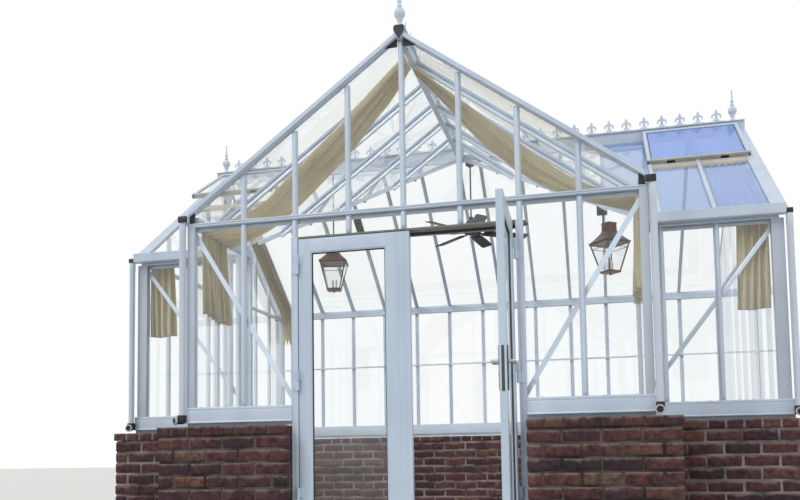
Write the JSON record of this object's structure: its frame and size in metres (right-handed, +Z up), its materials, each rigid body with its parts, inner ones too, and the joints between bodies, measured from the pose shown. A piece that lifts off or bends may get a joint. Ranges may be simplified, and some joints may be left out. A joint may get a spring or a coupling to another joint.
{
  "type": "greenhouse",
  "caption": "white glazed garden house on a brick dwarf wall: gabled porch with double doors before a longer gabled house, roof vents, gutters, downpipes and ridge cresting",
  "frame": {"origin": "on the ground at the middle of the doorway, in the plane of the porch front glass", "axes": "+Z up, +X to the right along the main ridge as seen from the front, -Y out of the front door"},
  "size_m": [5.06, 4.7192, 3.684],
  "materials": {
    "black_plastic": "matt black",
    "brick": "tumbled dark red brick with light grey mortar",
    "copper": "aged copper",
    "dark_metal": "dark satin",
    "glass": "clear toughened glass",
    "handle_metal": "satin",
    "shade_cloth": "cream woven shading",
    "white_frame": "white powder coat, satin",
    "white_plastic": "white, slightly glossy"
  },
  "bodies": {
    "house": {"black_caps": "black_plastic", "corner_posts": "white_frame", "door_hinge_plates": "white_frame", "door_posts": "white_frame", "door_rails": "white_frame", "downpipe_shoes": "black_plastic", "downpipes": "white_plastic", "end_brickwork": "brick", "fan_motor": "dark_metal", "finials": "white_frame", "gable_bars": "white_frame", "gutters": "white_frame", "hanging_rods": "copper", "lantern_bodies": "copper", "lantern_hoods": "copper", "main_eave_rails": "white_frame", "main_roof_bars": "white_frame", "main_roof_glass": "glass", "main_sills": "white_frame", "main_wall_bars": "white_frame", "main_wall_glass": "glass", "porch_eave_rails": "white_frame", "porch_front_brickwork": "brick", "porch_roof_bars": "white_frame", "porch_roof_glass": "glass", "porch_side_brickwork": "brick", "porch_sills": "white_frame", "porch_wall_bars": "white_frame", "porch_wall_glass": "glass", "rear_brickwork": "brick", "ridge_beams": "white_frame", "ridge_cresting": "white_frame", "roof_vent_glass": "glass", "roof_vents": "white_frame", "shade_cloths": "shade_cloth", "valley_bars": "white_frame", "verge_bars": "white_frame", "wind_braces": "white_frame", "wing_front_brickwork": "brick"},
    "left_leaf": {"left_door": "white_frame", "left_door_glass": "glass"},
    "right_leaf": {"right_door": "white_frame", "right_door_glass": "glass", "right_door_handles": "handle_metal"},
    "fan": {"fan_blades": "dark_metal"}
  },
  "joints": [
    {"name": "left_door_hinge", "type": "hinge", "parent": "house", "child": "left_leaf", "pos_m": [-0.707, -0.049, 1], "axis": [0, 0, -1], "range_deg": [0, 105]},
    {"name": "right_door_hinge", "type": "hinge", "parent": "house", "child": "right_leaf", "pos_m": [0.707, -0.049, 1], "axis": [0, 0, 1], "range_deg": [-91.5, 13.5]},
    {"name": "fan_spin", "type": "hinge", "parent": "house", "child": "fan", "pos_m": [0.076, 2.37, 2.613], "axis": [0, 0, 1], "continuous": true}
  ]
}
